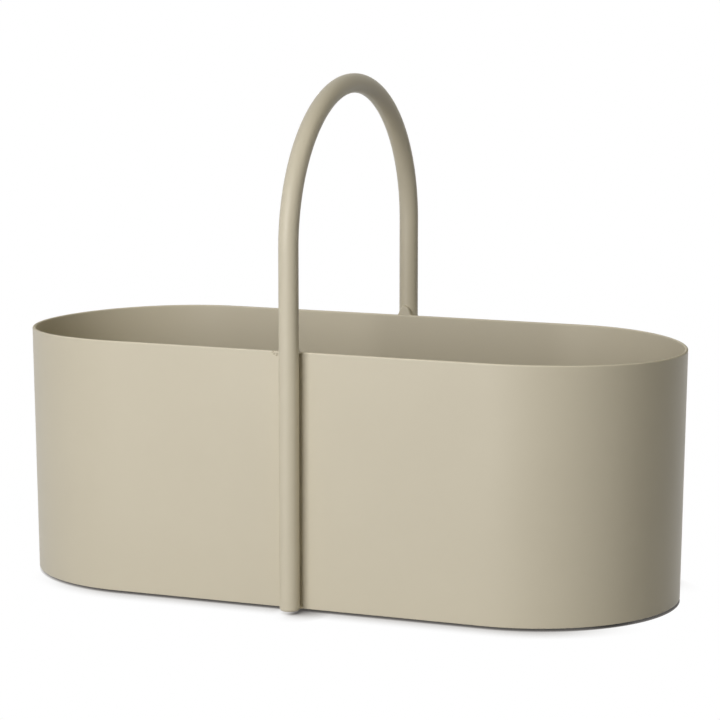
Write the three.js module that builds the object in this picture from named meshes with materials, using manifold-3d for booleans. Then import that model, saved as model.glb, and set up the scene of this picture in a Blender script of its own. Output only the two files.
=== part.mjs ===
// An open carrying box of powder-coated sheet steel: a rolled band with round ends on a recessed base plate,
// and a bent tube handle whose legs run down the outside of both long walls and are welded to them.
// Millimetres, +Z up. The origin is on the ground under the middle of the box, and the front wall is at -Y.

import * as THREE from 'three';
import { mergeVertices } from 'three/addons/utils/BufferGeometryUtils.js';
import Module from 'manifold-3d';

// Box
const BOX_LENGTH = 350;
const BOX_WIDTH = 150;
const BAND_HEIGHT = 129.5;
const BAND_SHEET = 1.5;
const END_LEAN = 2.3;
const END_DIP = 1.6;
const SEAM_WIDTH = 1;
const BASE_SHEET = 1.5;
const BASE_RECESS = 2;

// Handle
const TUBE_DIAMETER = 10;
const TUBE_WALL = 1.5;
const LEG_ABOVE_RIM = 51.5;
const ARCH_RISE = 77.2;
const DISC_THICKNESS = 1.5;
const DISC_CHAMFER = 0.9;

// Gap that is left between two pieces that a weld joins
const SEAT_GAP = 0.3;

// Welds
const RIM_WELD_REACH = 4.3;
const RIM_WELD_HEIGHT = 5.5;
const RIM_WELD_NECK_REACH = 2.9;
const RIM_WELD_NECK_HEIGHT = 1;
const TOE_WELD_REACH = 5.1;
const TOE_WELD_HEIGHT = 1.9;
const TOE_WELD_LIFT = 0.5;
const TOE_WELD_ROOT = 1.4;
const BASE_WELD_LEG = 1.6;
const BASE_WELD_THROAT = 1.35;
const BASE_WELD_LENGTH = 20;
const BASE_WELDS_PER_SIDE = 3;
const BASE_WELDS_PER_END = 2;

// Pads
const FLOOR_GAP = 1.5;
const PAD_DIAMETER = 15;
const PAD_CHAMFER = 0.6;
const PAD_EDGE_DISTANCE = 4;
const PAD_ANGLE = Math.PI / 4;

// Fineness of the round forms
const END_STEPS = 40;
const ARCH_STEPS = 40;
const TUBE_SIDES = 28;
const ROUND_SIDES = 40;
const WELD_STEPS = 8;

// Colours
const COAT_COLOUR = 0xc9c1ad;
const PAD_COLOUR = 0x3b3936;

// Places that follow from the sizes
const HALF_WIDTH = BOX_WIDTH / 2;
const HALF_STRAIGHT = (BOX_LENGTH - BOX_WIDTH) / 2;
const INNER_RADIUS = HALF_WIDTH - BAND_SHEET;
const BASE_RADIUS = INNER_RADIUS - SEAT_GAP;
const RIM_Z = FLOOR_GAP + BAND_HEIGHT;
const BASE_UNDERSIDE_Z = FLOOR_GAP + BASE_RECESS;
const TUBE_RADIUS = TUBE_DIAMETER / 2;
const BORE_RADIUS = TUBE_RADIUS - TUBE_WALL;
const LEG_Y = HALF_WIDTH + SEAT_GAP + TUBE_RADIUS;
const LEG_END_Z = FLOOR_GAP + DISC_THICKNESS;
const ARCH_SPRING_Z = RIM_Z + LEG_ABOVE_RIM;
const CONTACT_Y = HALF_WIDTH + SEAT_GAP;

const wasm = await Module();
wasm.setup();

// Closed solid of a geometry, with its shared vertices merged and its flat poles dropped.
function solidOf(geometry) {
  geometry.deleteAttribute('normal');
  geometry.deleteAttribute('uv');
  const merged = mergeVertices(geometry);
  const corners = merged.index.array;
  const triangles = [];
  for (let i = 0; i < corners.length; i += 3) {
    const [a, b, c] = [corners[i], corners[i + 1], corners[i + 2]];
    if (a !== b && b !== c && c !== a) triangles.push(a, b, c);
  }
  return new wasm.Manifold(new wasm.Mesh({
    numProp: 3,
    vertProperties: new Float32Array(merged.attributes.position.array),
    triVerts: new Uint32Array(triangles),
  }));
}

function geometryOf(solid) {
  const mesh = solid.getMesh();
  const geometry = new THREE.BufferGeometry();
  geometry.setAttribute('position', new THREE.BufferAttribute(mesh.vertProperties, 3));
  geometry.setIndex(new THREE.BufferAttribute(mesh.triVerts, 1));
  geometry.computeVertexNormals();
  return geometry;
}

// Body of revolution about +Z from an outline of [radius, height] points.
function turned(outline) {
  const points = outline.map(([radius, height]) => new THREE.Vector2(radius, height));
  return new THREE.LatheGeometry(points, ROUND_SIDES).rotateX(Math.PI / 2);
}

function block(xRange, yRange, zRange) {
  const size = [xRange, yRange, zRange].map(([low, high]) => high - low);
  const middle = [xRange, yRange, zRange].map(([low, high]) => (low + high) / 2);
  return new THREE.BoxGeometry(...size).translate(...middle);
}

// Upright of the front leg with the seat gap around it, which the welds are cut back to.
function legClearance() {
  const height = 2 * (ARCH_SPRING_Z + RIM_WELD_HEIGHT);
  return new THREE.CylinderGeometry(
    TUBE_RADIUS + SEAT_GAP, TUBE_RADIUS + SEAT_GAP, height, ROUND_SIDES,
  ).rotateX(Math.PI / 2).translate(0, -LEG_Y, 0);
}

// Lets the round ends lean out and their rim dip a little, where only the strip's own spring shapes them.
function springEnds(geometry) {
  const points = geometry.attributes.position;
  for (let i = 0; i < points.count; i += 1) {
    const [x, z] = [points.getX(i), points.getZ(i)];
    const pastBend = Math.max(Math.abs(x) - HALF_STRAIGHT, 0) / HALF_WIDTH;
    const upTheBand = (z - FLOOR_GAP) / BAND_HEIGHT;
    points.setX(i, x + Math.sign(x) * END_LEAN * pastBend * upTheBand);
    points.setZ(i, z - END_DIP * pastBend ** 2 * upTheBand);
  }
  return geometry;
}

// Rolled strip, seen from above: once round the box from one side of the front seam to the other.
function wallBand() {
  const strip = new THREE.Shape();
  strip.moveTo(SEAM_WIDTH / 2, -HALF_WIDTH);
  strip.absarc(HALF_STRAIGHT, 0, HALF_WIDTH, -Math.PI / 2, Math.PI / 2, false);
  strip.absarc(-HALF_STRAIGHT, 0, HALF_WIDTH, Math.PI / 2, 1.5 * Math.PI, false);
  strip.lineTo(-SEAM_WIDTH / 2, -HALF_WIDTH);
  strip.lineTo(-SEAM_WIDTH / 2, -INNER_RADIUS);
  strip.absarc(-HALF_STRAIGHT, 0, INNER_RADIUS, 1.5 * Math.PI, Math.PI / 2, true);
  strip.absarc(HALF_STRAIGHT, 0, INNER_RADIUS, Math.PI / 2, -Math.PI / 2, true);
  strip.lineTo(SEAM_WIDTH / 2, -INNER_RADIUS);
  strip.closePath();
  return springEnds(new THREE.ExtrudeGeometry(strip, {
    depth: BAND_HEIGHT, bevelEnabled: false, curveSegments: END_STEPS / 2,
  }).translate(0, 0, FLOOR_GAP));
}

// Weld metal between the strip's two ends, ground flush on both faces.
function wallSeamWeld() {
  return block(
    [-SEAM_WIDTH / 2, SEAM_WIDTH / 2],
    [-HALF_WIDTH, -INNER_RADIUS],
    [FLOOR_GAP, RIM_Z],
  );
}

function basePlate() {
  const plate = new THREE.Shape();
  plate.absarc(HALF_STRAIGHT, 0, BASE_RADIUS, -Math.PI / 2, Math.PI / 2, false);
  plate.absarc(-HALF_STRAIGHT, 0, BASE_RADIUS, Math.PI / 2, 1.5 * Math.PI, false);
  plate.closePath();
  return new THREE.ExtrudeGeometry(plate, {
    depth: BASE_SHEET, bevelEnabled: false, curveSegments: END_STEPS / 2,
  }).translate(0, 0, BASE_UNDERSIDE_Z);
}

// Centre line of the handle: up the front leg, over the arch and down the rear leg.
// Each straight leg is one step of the path, and the arch has the rest.
class HandlePath extends THREE.Curve {
  static steps = ARCH_STEPS + 2;

  turnAt(t) {
    return THREE.MathUtils.clamp((t * HandlePath.steps - 1) / ARCH_STEPS, 0, 1) * Math.PI;
  }

  getPoint(t, target = new THREE.Vector3()) {
    const step = t * HandlePath.steps;
    const turn = this.turnAt(t);
    const drop = Math.max(1 - step, step - ARCH_STEPS - 1, 0) * (ARCH_SPRING_Z - LEG_END_Z);
    return target.set(0, -LEG_Y * Math.cos(turn), ARCH_SPRING_Z + ARCH_RISE * Math.sin(turn) - drop);
  }

  getTangent(t, target = new THREE.Vector3()) {
    const turn = this.turnAt(t);
    return target.set(0, LEG_Y * Math.sin(turn), ARCH_RISE * Math.cos(turn)).normalize();
  }

  getUtoTmapping(u) {
    return u;
  }
}

function handleTube() {
  const section = new THREE.Shape().absarc(0, 0, TUBE_RADIUS, 0, 2 * Math.PI, false);
  section.holes.push(new THREE.Path().absarc(0, 0, BORE_RADIUS, 0, 2 * Math.PI, true));
  return new THREE.ExtrudeGeometry(section, {
    steps: HandlePath.steps, extrudePath: new HandlePath(), curveSegments: TUBE_SIDES / 2,
  });
}

// Disc that closes the lower end of a leg, chamfered round its foot.
function endDisc() {
  return turned([
    [0, FLOOR_GAP],
    [TUBE_RADIUS - DISC_CHAMFER, FLOOR_GAP],
    [TUBE_RADIUS, FLOOR_GAP + DISC_CHAMFER],
    [TUBE_RADIUS, LEG_END_Z],
    [0, LEG_END_Z],
  ]).translate(0, -LEG_Y, 0);
}

// Hollow-sided heap of weld metal on the rim, leaning on the leg and ending at the rim's inner edge.
function rimWeld() {
  const side = new THREE.QuadraticBezierCurve(
    new THREE.Vector2(RIM_WELD_REACH, 0),
    new THREE.Vector2(RIM_WELD_NECK_REACH, RIM_WELD_NECK_HEIGHT),
    new THREE.Vector2(0, RIM_WELD_HEIGHT),
  );
  const outline = [[0, 0], ...side.getPoints(WELD_STEPS).map((point) => [point.x, point.y])];
  const heap = turned(outline).translate(0, -CONTACT_Y, RIM_Z);
  const overRimInside = block(
    [-RIM_WELD_REACH, RIM_WELD_REACH],
    [-INNER_RADIUS, -INNER_RADIUS + RIM_WELD_REACH],
    [RIM_Z - RIM_WELD_HEIGHT, RIM_Z + 2 * RIM_WELD_HEIGHT],
  );
  return geometryOf(solidOf(heap).subtract(solidOf(legClearance())).subtract(solidOf(overRimInside)));
}

// Bead just above the foot of a leg, in the groove between leg and wall; hand is -1 on the left and 1 on the right.
function toeWeld(hand) {
  const outline = [[0, 0]];
  for (let i = 0; i <= WELD_STEPS; i += 1) {
    const angle = (i / WELD_STEPS) * (Math.PI / 2);
    outline.push([TOE_WELD_REACH * Math.cos(angle), TOE_WELD_HEIGHT * Math.sin(angle)]);
  }
  const foot = FLOOR_GAP + TOE_WELD_LIFT;
  const mound = turned(outline).translate(0, -CONTACT_Y, foot);
  const inGroove = block(
    [TOE_WELD_ROOT, 2 * TOE_WELD_REACH].map((x) => hand * x).sort((a, b) => a - b),
    [-HALF_WIDTH - 2 * TOE_WELD_REACH, -HALF_WIDTH],
    [foot, foot + 2 * TOE_WELD_HEIGHT],
  );
  return geometryOf(solidOf(mound).intersect(solidOf(inGroove)).subtract(solidOf(legClearance())));
}

// Arc about the middle of a round end, run anticlockwise.
class EndArc extends THREE.Curve {
  constructor(middleX, radius, z, fromAngle, toAngle) {
    super();
    Object.assign(this, { middleX, radius, z, fromAngle, toAngle });
  }

  getPoint(t, target = new THREE.Vector3()) {
    const angle = THREE.MathUtils.lerp(this.fromAngle, this.toAngle, t);
    return target.set(
      this.middleX + this.radius * Math.cos(angle), this.radius * Math.sin(angle), this.z,
    );
  }
}

// Fillet under the base plate, swept anticlockwise along the plate's edge: the section's first axis
// points down from the plate and its second one inward.
function baseWeld(path, steps) {
  const section = new THREE.Shape([
    new THREE.Vector2(0, 0),
    new THREE.Vector2(BASE_WELD_LEG, 0),
    new THREE.Vector2(BASE_WELD_THROAT, BASE_WELD_THROAT).multiplyScalar(Math.SQRT1_2),
    new THREE.Vector2(0, BASE_WELD_LEG),
  ]);
  return new THREE.ExtrudeGeometry(section, { steps, extrudePath: path });
}

// Short welds at even pitch along both straight edges of the base plate and round both ends.
function baseWelds() {
  const welds = {};
  const pitch = (2 * HALF_STRAIGHT) / BASE_WELDS_PER_SIDE;
  for (let i = 0; i < BASE_WELDS_PER_SIDE; i += 1) {
    const middle = -HALF_STRAIGHT + (i + 0.5) * pitch;
    const [left, right] = [middle - BASE_WELD_LENGTH / 2, middle + BASE_WELD_LENGTH / 2];
    const edgePoint = (x, y) => new THREE.Vector3(x, y, BASE_UNDERSIDE_Z);
    welds[`base_weld_front_${i + 1}`] = baseWeld(
      new THREE.LineCurve3(edgePoint(left, -BASE_RADIUS), edgePoint(right, -BASE_RADIUS)), 1,
    );
    welds[`base_weld_rear_${i + 1}`] = baseWeld(
      new THREE.LineCurve3(edgePoint(right, BASE_RADIUS), edgePoint(left, BASE_RADIUS)), 1,
    );
  }
  const spread = BASE_WELD_LENGTH / BASE_RADIUS / 2;
  for (let i = 0; i < BASE_WELDS_PER_END; i += 1) {
    const middle = -Math.PI / 2 + ((i + 0.5) * Math.PI) / BASE_WELDS_PER_END;
    for (const [end, middleX, turn] of [['right', HALF_STRAIGHT, 0], ['left', -HALF_STRAIGHT, Math.PI]]) {
      const path = new EndArc(
        middleX, BASE_RADIUS, BASE_UNDERSIDE_Z, turn + middle - spread, turn + middle + spread,
      );
      welds[`base_weld_${end}_${i + 1}`] = baseWeld(path, WELD_STEPS / 2);
    }
  }
  return welds;
}

// Round pad under the base plate, reaching below the band's lower edge to the ground.
function pad() {
  const radius = PAD_DIAMETER / 2;
  return turned([
    [0, 0],
    [radius - PAD_CHAMFER, 0],
    [radius, PAD_CHAMFER],
    [radius, BASE_UNDERSIDE_Z],
    [0, BASE_UNDERSIDE_Z],
  ]);
}

const finishes = {
  coat: { color: COAT_COLOUR, roughness: 0.55, metalness: 0 },
  pad: { color: PAD_COLOUR, roughness: 0.9, metalness: 0 },
};

function piece(name, geometry, finish) {
  const mesh = new THREE.Mesh(geometry, new THREE.MeshStandardMaterial(finishes[finish]));
  mesh.name = name;
  return mesh;
}

const box = new THREE.Group();
box.add(
  piece('wall_band', wallBand(), 'coat'),
  piece('wall_seam_weld', wallSeamWeld(), 'coat'),
  piece('base_plate', basePlate(), 'coat'),
  piece('handle_tube', handleTube(), 'coat'),
);
for (const [name, geometry] of Object.entries(baseWelds())) {
  box.add(piece(name, geometry, 'coat'));
}

// The rear leg's fittings are the front leg's, turned half round the box's middle.
for (const [side, turn, hands] of [['front', 0, ['left', 'right']], ['rear', Math.PI, ['right', 'left']]]) {
  const leg = new THREE.Group();
  leg.rotation.z = turn;
  leg.add(
    piece(`${side}_end_disc`, endDisc(), 'coat'),
    piece(`${side}_rim_weld`, rimWeld(), 'coat'),
    piece(`${side}_${hands[0]}_toe_weld`, toeWeld(-1), 'coat'),
    piece(`${side}_${hands[1]}_toe_weld`, toeWeld(1), 'coat'),
  );
  box.add(leg);
}

const padRing = BASE_RADIUS - BASE_WELD_LEG - PAD_EDGE_DISTANCE - PAD_DIAMETER / 2;
for (const [end, x] of [['left', -1], ['right', 1]]) {
  for (const [side, y] of [['front', -1], ['rear', 1]]) {
    const foot = piece(`${side}_${end}_pad`, pad(), 'pad');
    foot.position.set(
      x * (HALF_STRAIGHT + padRing * Math.cos(PAD_ANGLE)), y * padRing * Math.sin(PAD_ANGLE), 0,
    );
    box.add(foot);
  }
}

export default box;
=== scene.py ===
"""Looks of an open carrying box of powder-coated sheet steel with a bent tube handle.

Each piece is a smooth mesh in the place of its solid in the frame. Metres, +Z up, the front wall at -Y.
"""
import math

import bmesh
import bpy
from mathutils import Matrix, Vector, noise


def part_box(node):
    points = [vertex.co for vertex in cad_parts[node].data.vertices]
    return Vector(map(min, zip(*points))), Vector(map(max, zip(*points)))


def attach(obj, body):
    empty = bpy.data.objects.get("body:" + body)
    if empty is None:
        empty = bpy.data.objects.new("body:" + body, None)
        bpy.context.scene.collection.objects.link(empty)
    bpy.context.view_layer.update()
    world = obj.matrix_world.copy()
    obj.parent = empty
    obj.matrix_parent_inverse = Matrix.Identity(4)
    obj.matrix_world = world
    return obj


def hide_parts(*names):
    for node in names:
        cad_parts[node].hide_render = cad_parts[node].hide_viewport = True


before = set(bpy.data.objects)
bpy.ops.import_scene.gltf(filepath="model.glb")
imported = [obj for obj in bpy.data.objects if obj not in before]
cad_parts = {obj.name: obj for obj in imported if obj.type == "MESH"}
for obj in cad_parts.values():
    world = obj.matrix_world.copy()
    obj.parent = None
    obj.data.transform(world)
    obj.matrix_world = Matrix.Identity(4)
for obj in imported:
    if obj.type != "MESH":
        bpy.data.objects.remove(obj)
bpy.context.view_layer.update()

MM = 0.001
FULL_TURN = 2 * math.pi
HALF_TURN = math.pi
QUARTER_TURN = math.pi / 2
FRONT = -QUARTER_TURN
REAR = QUARTER_TURN

# Sizes read from the frame
band_low, band_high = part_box("wall_band")
band_points = [vertex.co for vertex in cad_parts["wall_band"].data.vertices]
seam_low, seam_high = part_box("wall_seam_weld")
plate_low, plate_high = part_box("base_plate")
tube_low, tube_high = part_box("handle_tube")
OUTER_RADIUS = band_high.y
HALF_STRAIGHT = plate_high.x - plate_high.y
END_LEAN = band_high.x - HALF_STRAIGHT - OUTER_RADIUS
SHEET = seam_high.y - seam_low.y
SEAM_HALF = seam_high.x
BAND_FOOT = band_low.z
RIM = band_high.z
END_DIP = RIM - max(band_points, key=lambda point: point.x).z
PLATE_INSET = band_high.y - plate_high.y
PLATE_FOOT = plate_low.z
PLATE_TOP = plate_high.z
TUBE_RADIUS = tube_high.x
LEG_Y = tube_high.y - TUBE_RADIUS
LEG_END = tube_low.z
CONTACT_Y = LEG_Y - TUBE_RADIUS
INNER_DEPTH = CONTACT_Y - OUTER_RADIUS + SHEET

# Forms that the boxes of the nodes don't give
ARCH_RISE = 77.2 * MM
ARCH_SPRING = tube_high.z - TUBE_RADIUS - ARCH_RISE
RIM_ROUND = 0.7 * MM
RIM_MARK = 0.6 * RIM_ROUND
FOOT_ROUND = 0.35 * MM
SUPPORT = 0.5 * MM
PLATE_ROUND = 0.25 * MM
DISC_ROUND = 1.1 * MM
PAD_ROUND = 0.7 * MM
SEAM_CROWN = 0.15 * MM

# Welds. The side line of a rim weld is given as shares of its reach and height
WELD_SINK = 0.5 * MM
WELD_LUMP = 0.16 * MM
WELD_LUMP_SIZE = 1.3 * MM
RIM_WELD_SIDE = ((1, 0), (0.67, 0.09), (0.9, 0.71), (0.05, 1.02))
TOE_LUMP_GAIN = 2
TOE_TIP = 0.3 * MM
RIPPLE_PITCH = 1.5 * MM
RIPPLE_DEPTH = 0.1 * MM
BASE_WELD_TIP_SHARE = 0.02

# Lumps at the left end of the front weld: x, depth below the rim and radius, in millimetres
RIM_LUMPS = (
    (-7.6, 0.8, 1.0),
    (-8.7, 0.7, 0.9),
    (-9.6, 0.8, 0.75),
    (-11.2, 0.5, 0.6),
    (-9.2, 2.0, 0.6),
    (-10.5, 1.6, 0.5),
)
RIM_LUMP_TIP = 0.02
RIM_LUMP_FLATNESS = 0.75

# Fineness of the meshes
END_STEPS = 96
STRAIGHT_STEPS = 24
HEIGHT_STEPS = 10
ROUND_STEPS = 6
ARCH_STEPS = 96
LEG_STEPS = 12
TUBE_SIDES = 64
RING_SIDES = 48
WELD_RINGS = 18
LUMP_RINGS = RING_SIDES // 2
TOE_STEPS = 2 * ROUND_STEPS
BASE_WELD_STEPS = 3 * STRAIGHT_STEPS
SHARP_ANGLE = math.radians(40)


def lerp(a, b, t):
    return a + (b - a) * t


# Meshes

def loft(name, *shells):
    """Mesh of closed shells, each through levels of equal length and capped at both ends."""
    points, faces = [], []
    for levels in shells:
        size, first = len(levels[0]), len(points)
        points += [point for level in levels for point in level]
        last = len(points) - size
        faces += [tuple(range(first, first + size)), tuple(range(last, last + size))]
        for start in range(first, last, size):
            for i in range(size):
                j = (i + 1) % size
                faces.append((start + i, start + j, start + size + j, start + size + i))
    mesh = bpy.data.meshes.new(name)
    mesh.from_pydata(points, [], faces)
    piece = bpy.data.objects.new(name, mesh)
    bpy.context.scene.collection.objects.link(piece)
    face_outward(mesh)
    mesh.shade_smooth()
    mesh.set_sharp_from_angle(angle=SHARP_ANGLE)
    return piece


def face_outward(mesh):
    """Turns the faces so that the closed mesh holds a positive volume."""
    shape = bmesh.new()
    shape.from_mesh(mesh)
    bmesh.ops.recalc_face_normals(shape, faces=shape.faces)
    if shape.calc_volume(signed=True) < 0:
        bmesh.ops.reverse_faces(shape, faces=shape.faces)
    shape.to_mesh(mesh)
    shape.free()


def arc(middle, radius, start, end, steps):
    """Points of a circular arc in a section's plane."""
    turns = [lerp(start, end, i / steps) for i in range(steps + 1)]
    return [(middle[0] + radius * math.cos(t), middle[1] + radius * math.sin(t)) for t in turns]


def bezier(corners, t):
    """Point of a cubic curve in a section's plane."""
    shares = ((1 - t) ** 3, 3 * t * (1 - t) ** 2, 3 * t**2 * (1 - t), t**3)
    return tuple(sum(share * corner[axis] for share, corner in zip(shares, corners)) for axis in (0, 1))


def ring(centre, radius, z, sides):
    """Points of a level circle."""
    turns = [FULL_TURN * i / sides for i in range(sides)]
    return [
        Vector((centre[0] + radius * math.cos(t), centre[1] + radius * math.sin(t), z)) for t in turns
    ]


def lump(point):
    """Small uneven swelling of a weld at a point."""
    return WELD_LUMP * noise.noise(point / WELD_LUMP_SIZE)


def sheet_section():
    """Outline of the upright sheet as (depth from its outer face, height), with round edges.

    A support line next to each rounding keeps the shading of the flat faces flat.
    """
    foot, rim = BAND_FOOT + FOOT_ROUND, RIM - RIM_ROUND
    steps = range(HEIGHT_STEPS + 1)
    rising = [lerp(foot + SUPPORT, rim - SUPPORT, i / HEIGHT_STEPS) for i in steps]
    section = arc((FOOT_ROUND, foot), FOOT_ROUND, 3 * QUARTER_TURN, HALF_TURN, ROUND_STEPS)
    section += [(0.0, z) for z in rising]
    section += arc((RIM_ROUND, rim), RIM_ROUND, HALF_TURN, QUARTER_TURN, ROUND_STEPS)
    section += arc((SHEET - RIM_ROUND, rim), RIM_ROUND, QUARTER_TURN, 0, ROUND_STEPS)
    section += [(SHEET, z) for z in reversed(rising)]
    section += arc((SHEET - FOOT_ROUND, foot), FOOT_ROUND, 0, -QUARTER_TURN, ROUND_STEPS)
    return section


def outline_stations(first_x, last_x):
    """Once round the box, anticlockwise from first_x to last_x on the front wall.

    Each station is the x of the bend's middle and the angle of the outward direction.
    """
    steps = range(1, STRAIGHT_STEPS + 1)
    turns = range(1, END_STEPS + 1)
    run = [(first_x, FRONT)]
    run += [(lerp(first_x, HALF_STRAIGHT, i / STRAIGHT_STEPS), FRONT) for i in steps]
    run += [(HALF_STRAIGHT, FRONT + HALF_TURN * i / END_STEPS) for i in turns]
    run += [(lerp(HALF_STRAIGHT, -HALF_STRAIGHT, i / STRAIGHT_STEPS), REAR) for i in steps]
    run += [(-HALF_STRAIGHT, REAR + HALF_TURN * i / END_STEPS) for i in turns]
    run += [(lerp(-HALF_STRAIGHT, last_x, i / STRAIGHT_STEPS), FRONT) for i in steps]
    return run


def outline_point(station, inset, z):
    """Point at a depth inside the box's outline; towards the rim the round ends lean out and dip."""
    middle_x, angle = station
    radius = OUTER_RADIUS - inset
    up = (z - BAND_FOOT) / (RIM - BAND_FOOT)
    past_bend = radius * math.cos(angle) / OUTER_RADIUS
    x = middle_x + radius * math.cos(angle) + END_LEAN * past_bend * up
    return Vector((x, radius * math.sin(angle), z - END_DIP * past_bend**2 * up))


# Pieces

def dress(piece, node, material):
    """The piece stands for a solid of the frame and takes that solid's finish."""
    piece.data.materials.append(material)
    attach(piece, "root")
    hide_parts(node)


def mark_rim(piece, section):
    """Marks the top of the rounded rim, where the coat is thin and rougher and its colour is a painted
    highlight. Each level of the piece is a section.
    """
    marks = piece.data.attributes.new("rim", "FLOAT", "POINT").data
    for i, mark in enumerate(marks):
        mark.value = float(section[i % len(section)][1] > RIM - RIM_MARK)
    return piece


def wall_band():
    section = sheet_section()
    stations = outline_stations(SEAM_HALF, -SEAM_HALF)
    rings = [[outline_point(station, d, z) for d, z in section] for station in stations]
    return mark_rim(loft("coated_wall_band", rings), section)


def wall_seam():
    """Weld metal between the ends of the band, with a low crown on the inside."""
    section = sheet_section()
    rings = []
    for i in range(ROUND_STEPS + 1):
        x = lerp(-SEAM_HALF, SEAM_HALF, i / ROUND_STEPS)
        crown = SEAM_CROWN * (1 - (x / SEAM_HALF) ** 2)
        rings.append([
            outline_point((x, FRONT), d + crown * (d > SHEET / 2), z) for d, z in section
        ])
    return mark_rim(loft("coated_wall_seam", rings), section)


def base_plate():
    """Stadium plate, as rows across it from the left tip to the right tip."""
    foot, top = PLATE_FOOT + PLATE_ROUND, PLATE_TOP - PLATE_ROUND
    edge = arc((PLATE_ROUND, foot), PLATE_ROUND, -QUARTER_TURN, -HALF_TURN, ROUND_STEPS)
    edge += arc((PLATE_ROUND, top), PLATE_ROUND, HALF_TURN, QUARTER_TURN, ROUND_STEPS)
    turns = [HALF_TURN * i / END_STEPS for i in range(1, END_STEPS)]
    shares = [i / STRAIGHT_STEPS for i in range(1, STRAIGHT_STEPS)]
    fronts = [(-HALF_STRAIGHT, -HALF_TURN + t) for t in turns if t <= QUARTER_TURN]
    fronts += [(lerp(-HALF_STRAIGHT, HALF_STRAIGHT, share), FRONT) for share in shares]
    fronts += [(HALF_STRAIGHT, -HALF_TURN + t) for t in turns if t >= QUARTER_TURN]
    rings = []
    for station in fronts:
        front = [outline_point(station, PLATE_INSET + d, z) for d, z in edge]
        rear = [Vector((p.x, -p.y, p.z)) for p in reversed(front)]
        rings.append(front + rear)
    return loft("coated_base_plate", rings)


def handle_tube():
    """Rings up the front leg, over the arch and down the rear leg."""
    arch = [HALF_TURN * i / ARCH_STEPS for i in range(ARCH_STEPS + 1)]
    path = [(lerp(LEG_END, ARCH_SPRING, i / LEG_STEPS), 0.0) for i in range(LEG_STEPS)]
    path += [(ARCH_SPRING + ARCH_RISE * math.sin(turn), turn) for turn in arch]
    path += [(lerp(ARCH_SPRING, LEG_END, i / LEG_STEPS), HALF_TURN) for i in range(1, LEG_STEPS + 1)]
    turns = [FULL_TURN * i / TUBE_SIDES for i in range(TUBE_SIDES)]
    across = Vector((1, 0, 0))
    rings = []
    for z, turn in path:
        centre = Vector((0, -LEG_Y * math.cos(turn), z))
        along = Vector((0, LEG_Y * math.sin(turn), ARCH_RISE * math.cos(turn))).normalized()
        out = across.cross(along)
        rings.append([centre + TUBE_RADIUS * (math.cos(t) * across + math.sin(t) * out) for t in turns])
    return loft("coated_handle_tube", rings)


def end_disc(side, sign):
    """Closed foot of a leg, rounded at its lower edge."""
    low, high = (p.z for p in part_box(f"{side}_end_disc"))
    profile = arc((TUBE_RADIUS - DISC_ROUND, low + DISC_ROUND), DISC_ROUND, -QUARTER_TURN, 0, ROUND_STEPS)
    profile.append((TUBE_RADIUS, high))
    rings = [ring((0, sign * LEG_Y), r, z, TUBE_SIDES) for r, z in profile]
    return loft(f"coated_{side}_end_disc", rings)


def rim_weld(side, sign):
    """Heap on the rim, hollow at its foot, that leans on the leg and ends at the wall's inner face."""
    low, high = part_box(f"{side}_rim_weld")
    reach, height = high.x, high.z - low.z
    own_noise = Vector((0, sign, 0))
    levels = []
    for k in range(WELD_RINGS + 1):
        radius, rise = bezier(RIM_WELD_SIDE, k / WELD_RINGS)
        level = []
        for p in ring((0, 0), radius * reach, rise * height, RING_SIDES):
            swell = 1 + lump(p + own_noise) / reach
            inward = min(p.y * swell, INNER_DEPTH - FOOT_ROUND / 2)
            level.append(Vector((p.x * swell, sign * (CONTACT_Y - inward), RIM + p.z)))
        levels.append(level)
    sunk = [Vector((p.x, p.y, RIM - WELD_SINK)) for p in levels[0]]
    lumps = rim_lumps() if side == "front" else []
    return loft(f"coated_{side}_rim_weld", [sunk, *levels], *lumps)


def rim_lumps():
    """Flat lumps on the wall's outer face, where the front weld runs out on the left of the leg."""
    shells = []
    for x, below_rim, radius in RIM_LUMPS:
        levels = []
        for k in range(LUMP_RINGS + 1):
            turn = lerp(-QUARTER_TURN, QUARTER_TURN, k / LUMP_RINGS)
            z = RIM - below_rim * MM + radius * MM * math.sin(turn)
            level = ring((x * MM, 0), max(radius * math.cos(turn), RIM_LUMP_TIP) * MM, z, RING_SIDES)
            levels.append([Vector((p.x, p.y * RIM_LUMP_FLATNESS - OUTER_RADIUS, p.z)) for p in level])
        shells.append(levels)
    return shells


def toe_weld(side, sign, hand_name, hand):
    """Bead in the groove between the foot of a leg and the wall, sunk a little into both."""
    low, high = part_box(f"{side}_{hand_name}_toe_weld")
    reach = max(abs(low.x), abs(high.x))
    height = high.z - low.z
    root = OUTER_RADIUS - WELD_SINK
    rings = []
    for k in range(WELD_RINGS + 1):
        lift = k / WELD_RINGS * QUARTER_TURN
        rise = height * math.sin(lift)
        radius = max(reach * math.cos(lift), TOE_TIP)
        level = [Vector((0, sign * root, low.z + rise))]
        for i in range(TOE_STEPS + 1):
            turn = lerp(0, QUARTER_TURN, i / TOE_STEPS)
            point = Vector((hand * radius * math.cos(turn), sign * radius * math.sin(turn), rise))
            swell = 1 + TOE_LUMP_GAIN * lump(point) / reach
            out = root + (WELD_SINK + radius * math.sin(turn)) * swell
            level.append(Vector((point.x * swell, sign * out, low.z + rise)))
        rings.append(level)
    return loft(f"coated_{side}_{hand_name}_toe_weld", rings)


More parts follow.
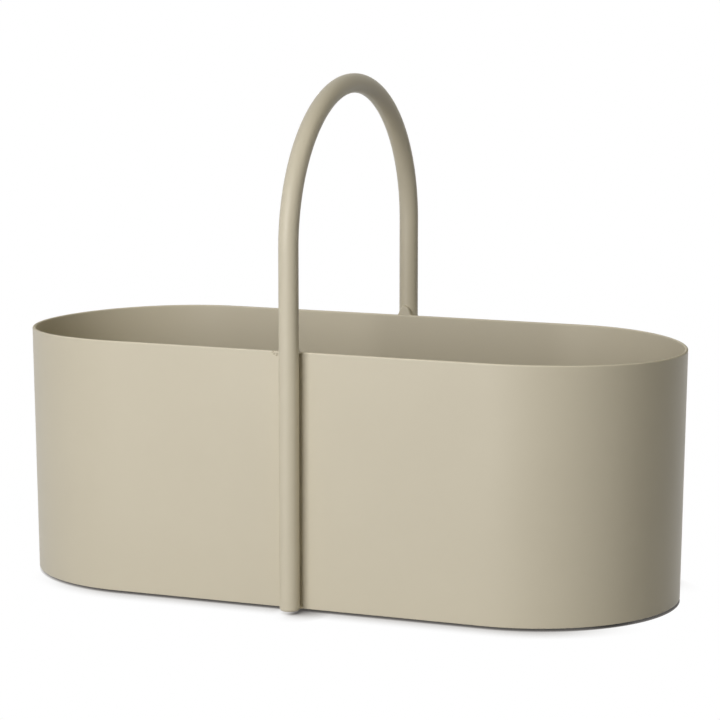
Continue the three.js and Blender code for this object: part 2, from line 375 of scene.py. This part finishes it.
def base_weld_stations(node):
    """Places along a base weld: on a straight edge of the plate, or round one of its ends."""
    low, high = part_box(node)
    middle = (low + high) / 2
    shares = [i / BASE_WELD_STEPS for i in range(BASE_WELD_STEPS + 1)]
    if "front" in node or "rear" in node:
        angle = FRONT if middle.y < 0 else REAR
        return [(lerp(low.x, high.x, share), angle) for share in shares]
    centre_x = math.copysign(HALF_STRAIGHT, middle.x)
    points = [vertex.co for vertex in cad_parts[node].data.vertices]
    turns = [math.atan2(p.y, p.x - centre_x) % FULL_TURN for p in points]
    return [(centre_x, lerp(min(turns), max(turns), share)) for share in shares]


def base_weld(node):
    """Rippled fillet under the plate's edge, thinning out at both ends."""
    stations = base_weld_stations(node)
    low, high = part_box(node)
    leg = high.z - low.z
    path = [outline_point(station, PLATE_INSET, 0) for station in stations]
    length = sum((a - b).length for a, b in zip(path, path[1:]))
    corner = (-WELD_SINK / 2, WELD_SINK / 2)
    rings = []
    for i, station in enumerate(stations):
        along = length * i / (len(stations) - 1)
        taper = math.sqrt(max(min(along, length - along), 0) / leg + BASE_WELD_TIP_SHARE)
        size = leg * min(taper, 1) + RIPPLE_DEPTH * math.sin(FULL_TURN * along / RIPPLE_PITCH)
        face = arc((0, 0), size, 0, -QUARTER_TURN, ROUND_STEPS)
        section = [corner, (size, corner[1]), *face, (corner[0], -size)]
        rings.append([outline_point(station, PLATE_INSET + d, PLATE_FOOT + z) for d, z in section])
    return loft(f"coated_{node}", rings)


def pad(node):
    low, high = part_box(node)
    middle = (low + high) / 2
    radius = (high.x - low.x) / 2
    profile = arc((radius - PAD_ROUND, low.z + PAD_ROUND), PAD_ROUND, -QUARTER_TURN, 0, ROUND_STEPS)
    profile.append((radius, high.z))
    return loft(f"rubber_{node}", [ring(middle, r, z, RING_SIDES) for r, z in profile])


# Materials

COAT_PALE = (0.590, 0.540, 0.425)
COAT_DEEP = (0.572, 0.522, 0.409)
# Paler colour of the rim's top: a painted highlight
RIM_PAINTED_HIGHLIGHT = (0.71, 0.655, 0.525)
COAT_SPECULAR = 0.38
COAT_ROUGHNESS = (0.39, 0.45)
RIM_ROUGHER = 0.4
CLOUD_SIZE = 60 * MM
CLOUD_DETAIL = 3
SPECK_SIZE = 0.8 * MM
SPECK_SHARE = 0.25
PEEL_SIZE = 1.6 * MM
PEEL_DETAIL = 1
PEEL_DEPTH = 0.006 * MM
GRAIN_SIZE = 0.3 * MM
GRAIN_DEPTH = 0.002 * MM
PAD_PALE = (0.060, 0.057, 0.052)
PAD_DEEP = (0.030, 0.029, 0.027)
PAD_ROUGHNESS = (0.75, 0.9)
PAD_GRAIN_SIZE = 0.5 * MM
PAD_GRAIN_DEPTH = 0.03 * MM
NOISE_LOW = 0.3
NOISE_HIGH = 0.7


def new_material(name):
    material = bpy.data.materials.new(name)
    material.use_nodes = True
    tree = material.node_tree
    return material, tree, tree.nodes["Principled BSDF"]


def noise_node(tree, size, detail=2):
    """Noise of the given grain size in metres, fixed to the object."""
    place = tree.nodes.new("ShaderNodeTexCoord")
    texture = tree.nodes.new("ShaderNodeTexNoise")
    texture.inputs["Scale"].default_value = 1 / size
    texture.inputs["Detail"].default_value = detail
    tree.links.new(place.outputs["Object"], texture.inputs["Vector"])
    return texture.outputs["Fac"]


def spread(tree, value, low, high):
    """The middle of a noise spread between two values."""
    remap = tree.nodes.new("ShaderNodeMapRange")
    remap.inputs["From Min"].default_value = NOISE_LOW
    remap.inputs["From Max"].default_value = NOISE_HIGH
    remap.inputs["To Min"].default_value = low
    remap.inputs["To Max"].default_value = high
    tree.links.new(value, remap.inputs["Value"])
    return remap.outputs["Result"]


def calc(tree, operation, *values):
    """Math node on numbers and outputs of other nodes."""
    node = tree.nodes.new("ShaderNodeMath")
    node.operation = operation
    for socket, value in zip(node.inputs, values):
        if isinstance(value, (int, float)):
            socket.default_value = value
        else:
            tree.links.new(value, socket)
    return node.outputs[0]


def mixed(tree, factor, a, b):
    """Mix of two colours, each a constant or the output of another node."""
    mix = tree.nodes.new("ShaderNodeMix")
    mix.data_type = "RGBA"
    for socket, colour in ((mix.inputs["A"], a), (mix.inputs["B"], b)):
        if isinstance(colour, tuple):
            socket.default_value = (*colour, 1)
        else:
            tree.links.new(colour, socket)
    tree.links.new(factor, mix.inputs["Factor"])
    return mix.outputs["Result"]


def bump(tree, height, depth, base=None):
    node = tree.nodes.new("ShaderNodeBump")
    node.inputs["Strength"].default_value = 1.0
    node.inputs["Distance"].default_value = depth
    tree.links.new(height, node.inputs["Height"])
    if base is not None:
        tree.links.new(base, node.inputs["Normal"])
    return node.outputs["Normal"]


def powder_coat():
    """Satin coat with an orange peel, a finer grain and a faint cloud; duller on the rim, and paler there
    as a painted highlight.
    """
    material, tree, shader = new_material("beige_coat")
    cloud = noise_node(tree, CLOUD_SIZE, CLOUD_DETAIL)
    speck = noise_node(tree, SPECK_SIZE)
    cloudy = mixed(tree, spread(tree, cloud, 0, 1), COAT_DEEP, COAT_PALE)
    colour = mixed(tree, spread(tree, speck, 0, SPECK_SHARE), cloudy, COAT_DEEP)
    rim = tree.nodes.new("ShaderNodeAttribute")
    rim.attribute_name = "rim"
    # The top of the rim is painted paler: a painted highlight
    tree.links.new(mixed(tree, rim.outputs["Fac"], colour, RIM_PAINTED_HIGHLIGHT), shader.inputs["Base Color"])
    shader.inputs["Specular IOR Level"].default_value = COAT_SPECULAR
    rougher = calc(tree, "MULTIPLY", rim.outputs["Fac"], RIM_ROUGHER)
    rough = calc(tree, "ADD", rougher, spread(tree, speck, *COAT_ROUGHNESS))
    tree.links.new(rough, shader.inputs["Roughness"])
    peel = bump(tree, noise_node(tree, PEEL_SIZE, PEEL_DETAIL), PEEL_DEPTH)
    grain = bump(tree, noise_node(tree, GRAIN_SIZE), GRAIN_DEPTH, peel)
    tree.links.new(grain, shader.inputs["Normal"])
    return material


def pad_rubber():
    """Dark matt rubber with a fine grain."""
    material, tree, shader = new_material("pad_rubber")
    speck = noise_node(tree, PAD_GRAIN_SIZE)
    tree.links.new(mixed(tree, speck, PAD_DEEP, PAD_PALE), shader.inputs["Base Color"])
    tree.links.new(spread(tree, speck, *PAD_ROUGHNESS), shader.inputs["Roughness"])
    tree.links.new(bump(tree, speck, PAD_GRAIN_DEPTH), shader.inputs["Normal"])
    return material


def add_pieces():
    coat = powder_coat()
    rubber = pad_rubber()
    dress(wall_band(), "wall_band", coat)
    dress(wall_seam(), "wall_seam_weld", coat)
    dress(base_plate(), "base_plate", coat)
    dress(handle_tube(), "handle_tube", coat)
    for node in sorted(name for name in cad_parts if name.startswith("base_weld_")):
        dress(base_weld(node), node, coat)
    for side, sign in (("front", -1), ("rear", 1)):
        dress(end_disc(side, sign), f"{side}_end_disc", coat)
        dress(rim_weld(side, sign), f"{side}_rim_weld", coat)
        for hand_name, hand in (("left", -1), ("right", 1)):
            toe_node = f"{side}_{hand_name}_toe_weld"
            dress(toe_weld(side, sign, hand_name, hand), toe_node, coat)
            pad_node = f"{side}_{hand_name}_pad"
            dress(pad(pad_node), pad_node, rubber)


# Camera

CAMERA_AZIMUTH = math.radians(22.512)
CAMERA_ELEVATION = math.radians(8.503)
CAMERA_DISTANCE = 1479.9 * MM
CAMERA_AIM_RIGHT = 4.323 * MM
CAMERA_AIM_HEIGHT = 115.08 * MM
SENSOR_WIDTH = 36.0
LENS = 142.69


def from_aim(azimuth, elevation):
    """Unit vector from the object towards a viewer at that azimuth and elevation."""
    flat = math.cos(elevation)
    return Vector((math.sin(azimuth) * flat, -math.cos(azimuth) * flat, math.sin(elevation)))


def add_camera():
    lens = bpy.data.cameras.new("camera")
    lens.lens = LENS
    lens.sensor_width = SENSOR_WIDTH
    lens.sensor_fit = "HORIZONTAL"
    camera = bpy.data.objects.new("camera", lens)
    bpy.context.scene.collection.objects.link(camera)
    back = from_aim(CAMERA_AZIMUTH, CAMERA_ELEVATION)
    right = Vector((math.cos(CAMERA_AZIMUTH), math.sin(CAMERA_AZIMUTH), 0))
    aim = right * CAMERA_AIM_RIGHT + Vector((0, 0, BAND_FOOT + CAMERA_AIM_HEIGHT))
    camera.location = aim + back * CAMERA_DISTANCE
    camera.rotation_mode = "QUATERNION"
    camera.rotation_quaternion = (-back).to_track_quat("-Z", "Y")
    bpy.context.scene.camera = camera


# Light

WHITE = (1.0, 1.0, 1.0)
BLACK = (0.0, 0.0, 0.0)
KEY_TINT = (1.0, 0.993, 0.983)
FILL_TINT = (1.0, 0.93, 0.7)
LIGHT_AIM = Vector((0, 0, 0.1))


def softbox(name, azimuth, elevation, distance, width, height, power, tint, in_gloss=True):
    """Rectangular soft light that faces the object. Its angles are in degrees, counted as the camera's."""
    lamp = bpy.data.lights.new(name, "AREA")
    lamp.shape = "RECTANGLE"
    lamp.size = width
    lamp.size_y = height
    lamp.energy = power
    lamp.color = tint
    light = bpy.data.objects.new(name, lamp)
    bpy.context.scene.collection.objects.link(light)
    towards = from_aim(math.radians(azimuth), math.radians(elevation))
    light.location = LIGHT_AIM + towards * distance
    light.rotation_mode = "QUATERNION"
    light.rotation_quaternion = (-towards).to_track_quat("-Z", "Y")
    light.visible_glossy = in_gloss


def add_lights():
    """Key from the front left, warm fill from the right, a little from above and a light from behind.

    The one behind stays out of the gloss, where it would glint along the upper edges.
    """
    softbox(
        "key", azimuth=-11, elevation=18, distance=1.25,
        width=0.72, height=0.9, power=12.8, tint=KEY_TINT,
    )
    softbox(
        "fill", azimuth=78, elevation=58, distance=1.6,
        width=0.55, height=0.55, power=4.5, tint=FILL_TINT,
    )
    softbox(
        "overhead", azimuth=10, elevation=80, distance=1.6,
        width=0.6, height=0.6, power=0.9, tint=WHITE,
    )
    softbox(
        "back", azimuth=202, elevation=14, distance=1.6,
        width=0.9, height=0.3, power=12.0, tint=WHITE, in_gloss=False,
    )


# Stage

FLOOR_RADIUS = 12.0
FLOOR_ALBEDO = 0.6
CONTACT_REACH = 16 * MM
CONTACT_SOFTNESS = 1.3
CONTACT_LEAN = (-1.2, -0.6, 0.0)
END_FADE = (0.3, 0.9)
LEG_FADE_X = -0.7 * TUBE_RADIUS
LEG_FADE = (0.2 * TUBE_RADIUS, 1.4 * TUBE_RADIUS)
LEG_FADE_SHARE = 0.55
SHADOW_TINT = (1.0, 0.94, 0.88)


def seen_directly(tree):
    """1 for what the camera sees directly, in a gloss or through glass, and 0 for light that bounces."""
    path = tree.nodes.new("ShaderNodeLightPath").outputs
    glossy = calc(tree, "MAXIMUM", path["Is Glossy Ray"], path["Is Transmission Ray"])
    return calc(tree, "MAXIMUM", path["Is Camera Ray"], glossy)


def ramp(tree, value, start, stop):
    """0 up to a start, 1 from a stop on, and a smooth rise between them."""
    rise = tree.nodes.new("ShaderNodeMapRange")
    rise.interpolation_type = "SMOOTHSTEP"
    rise.inputs["From Min"].default_value = start
    rise.inputs["From Max"].default_value = stop
    tree.links.new(value, rise.inputs["Value"])
    return rise.outputs["Result"]


def contact_share(tree):
    """Share of the contact shadow that is kept: less by the legs, and none past the round ends."""
    axes = tree.nodes.new("ShaderNodeSeparateXYZ")
    place = tree.nodes.new("ShaderNodeNewGeometry")
    tree.links.new(place.outputs["Position"], axes.inputs["Vector"])
    x, y = axes.outputs["X"], axes.outputs["Y"]
    past = calc(tree, "SUBTRACT", calc(tree, "ABSOLUTE", x), HALF_STRAIGHT)
    past = calc(tree, "MAXIMUM", past, 0)
    squares = calc(tree, "MULTIPLY_ADD", y, y, calc(tree, "MULTIPLY", past, past))
    radius = calc(tree, "SQRT", squares)
    end = ramp(tree, calc(tree, "DIVIDE", past, radius), *END_FADE)
    off_leg = calc(tree, "ABSOLUTE", calc(tree, "SUBTRACT", x, LEG_FADE_X))
    leg = calc(tree, "SUBTRACT", 1, ramp(tree, off_leg, *LEG_FADE))
    lost = calc(tree, "MAXIMUM", end, calc(tree, "MULTIPLY", leg, LEG_FADE_SHARE))
    outside = calc(tree, "GREATER_THAN", radius, OUTER_RADIUS)
    return calc(tree, "SUBTRACT", 1, calc(tree, "MULTIPLY", outside, lost))


def contact_shadow(tree):
    """Painted soft shadow round the object's foot, as under light that leans to the left."""
    uncovered = tree.nodes.new("ShaderNodeAmbientOcclusion")
    uncovered.inputs["Distance"].default_value = CONTACT_REACH
    lean = tree.nodes.new("ShaderNodeVectorMath")
    tree.links.new(tree.nodes.new("ShaderNodeNewGeometry").outputs["Normal"], lean.inputs[0])
    lean.inputs[1].default_value = CONTACT_LEAN
    leaning = tree.nodes.new("ShaderNodeVectorMath")
    leaning.operation = "NORMALIZE"
    tree.links.new(lean.outputs["Vector"], leaning.inputs[0])
    tree.links.new(leaning.outputs["Vector"], uncovered.inputs["Normal"])
    # Share of the leaning hemisphere that lies below the floor, where nothing ever covers it
    free = (1 - 1 / Vector((*CONTACT_LEAN[:2], 1)).length) / 2
    seen_sky = calc(tree, "SUBTRACT", uncovered.outputs["AO"], free)
    seen_sky = calc(tree, "MAXIMUM", calc(tree, "DIVIDE", seen_sky, 1 - free), 0)
    covered = calc(tree, "SUBTRACT", 1, calc(tree, "POWER", seen_sky, CONTACT_SOFTNESS))
    covered = calc(tree, "MULTIPLY", covered, contact_share(tree))
    return calc(tree, "SUBTRACT", 1, covered)


def add_floor():
    """Pale floor: white where it is seen, down to a painted shadow round the object's foot."""
    mesh = bpy.data.meshes.new("floor")
    mesh.from_pydata(ring((0, 0), FLOOR_RADIUS, 0, RING_SIDES), [], [tuple(range(RING_SIDES))])
    floor = bpy.data.objects.new("floor", mesh)
    bpy.context.scene.collection.objects.link(floor)
    material = bpy.data.materials.new("floor")
    material.use_nodes = True
    mesh.materials.append(material)
    tree = material.node_tree
    tree.nodes.clear()
    lit = tree.nodes.new("ShaderNodeBsdfDiffuse")
    lit.inputs["Color"].default_value = (FLOOR_ALBEDO, FLOOR_ALBEDO, FLOOR_ALBEDO, 1)
    white = tree.nodes.new("ShaderNodeEmission")
    shade = contact_shadow(tree)
    tree.links.new(shade, white.inputs["Strength"])
    tree.links.new(mixed(tree, shade, SHADOW_TINT, WHITE), white.inputs["Color"])
    blend = tree.nodes.new("ShaderNodeMixShader")
    tree.links.new(seen_directly(tree), blend.inputs["Fac"])
    tree.links.new(lit.outputs["BSDF"], blend.inputs[1])
    tree.links.new(white.outputs["Emission"], blend.inputs[2])
    output = tree.nodes.new("ShaderNodeOutputMaterial")
    tree.links.new(blend.outputs["Shader"], output.inputs["Surface"])


def add_world():
    """White where it is seen, and no light of its own."""
    world = bpy.data.worlds.new("world")
    world.use_nodes = True
    tree = world.node_tree
    tone = mixed(tree, seen_directly(tree), BLACK, WHITE)
    tree.links.new(tone, tree.nodes["Background"].inputs["Color"])
    bpy.context.scene.world = world


add_pieces()
add_camera()
add_lights()
add_floor()
add_world()
bpy.context.scene.view_settings.view_transform = "Standard"
